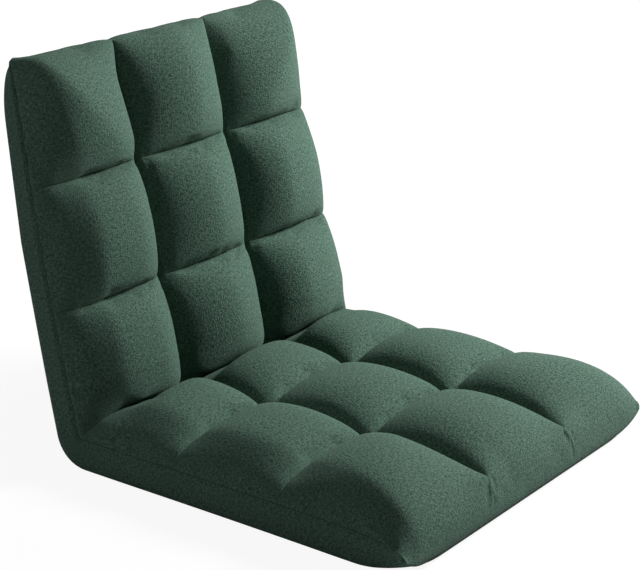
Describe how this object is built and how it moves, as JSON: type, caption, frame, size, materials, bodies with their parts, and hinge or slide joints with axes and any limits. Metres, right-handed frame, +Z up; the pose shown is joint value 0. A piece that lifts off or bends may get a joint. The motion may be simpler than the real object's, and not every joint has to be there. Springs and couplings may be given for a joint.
{
  "type": "folding floor chair",
  "caption": "Legless floor chair: a tufted, stuffed seat and back on bent steel tubes, joined by toothed hinges so that the back reclines flat or folds forward.",
  "frame": {"origin": "on the floor, under the middle of the seat, halfway from its front edge to the hinge line and halfway across", "axes": "+Z up, -Y towards the front of the seat, +X to the right as seen from the front"},
  "size_m": [0.5608, 0.6173, 0.5112],
  "materials": {
    "quilted_fabric": "matte",
    "cover_fabric": "matte",
    "foam": "matte",
    "webbing": "matte",
    "frame_paint": "satin",
    "hinge_steel": "satin",
    "rivet_steel": "satin",
    "spring_steel": "satin"
  },
  "bodies": {
    "seat": {"seat_bottom_cover": "cover_fabric", "seat_rear_row": "quilted_fabric", "seat_middle_row": "quilted_fabric", "seat_front_row": "quilted_fabric", "seat_foam_core": "foam", "seat_foam_sheet": "foam", "seat_frame_tube": "frame_paint", "seat_cross_tube": "frame_paint", "seat_straps": "webbing", "seat_frame_rivets": "rivet_steel", "corner_cover": "cover_fabric", "corner_foam": "foam", "left_outer_cheek": "hinge_steel", "left_inner_cheek": "hinge_steel", "left_pawl_spring": "spring_steel", "left_pivot_rivet": "rivet_steel", "left_pawl_rivet": "rivet_steel", "left_spring_rivet": "rivet_steel", "right_outer_cheek": "hinge_steel", "right_inner_cheek": "hinge_steel", "right_pawl_spring": "spring_steel", "right_pivot_rivet": "rivet_steel", "right_pawl_rivet": "rivet_steel", "right_spring_rivet": "rivet_steel"},
    "back": {"back_rear_cover": "cover_fabric", "back_lower_row": "quilted_fabric", "back_middle_row": "quilted_fabric", "back_upper_row": "quilted_fabric", "back_foam_core": "foam", "back_foam_sheet": "foam", "back_frame_tube": "frame_paint", "back_cross_tube": "frame_paint", "back_straps": "webbing", "back_frame_rivets": "rivet_steel", "left_ratchet_arm": "hinge_steel", "right_ratchet_arm": "hinge_steel"},
    "left_pawl": {"left_pawl": "hinge_steel"},
    "right_pawl": {"right_pawl": "hinge_steel"}
  },
  "joints": [
    {"name": "back_fold", "type": "hinge", "parent": "seat", "child": "back", "pos_m": [0, 0.244, 0.05], "axis": [1, 0, 0], "range_deg": [-78, 39], "deforming": ["corner_cover", "corner_foam", "seat_rear_row", "back_lower_row"]},
    {"name": "left_pawl_swing", "type": "hinge", "parent": "seat", "child": "left_pawl", "pos_m": [-0.22, 0.209, 0.044], "axis": [1, 0, 0], "range_deg": [0, 9], "deforming": ["left_pawl_spring"]},
    {"name": "right_pawl_swing", "type": "hinge", "parent": "seat", "child": "right_pawl", "pos_m": [0.22, 0.209, 0.044], "axis": [1, 0, 0], "range_deg": [0, 9], "deforming": ["right_pawl_spring"]}
  ],
  "couplings": [
    {"joint": "right_pawl_swing", "follows": "left_pawl_swing", "ratio": 1}
  ]
}
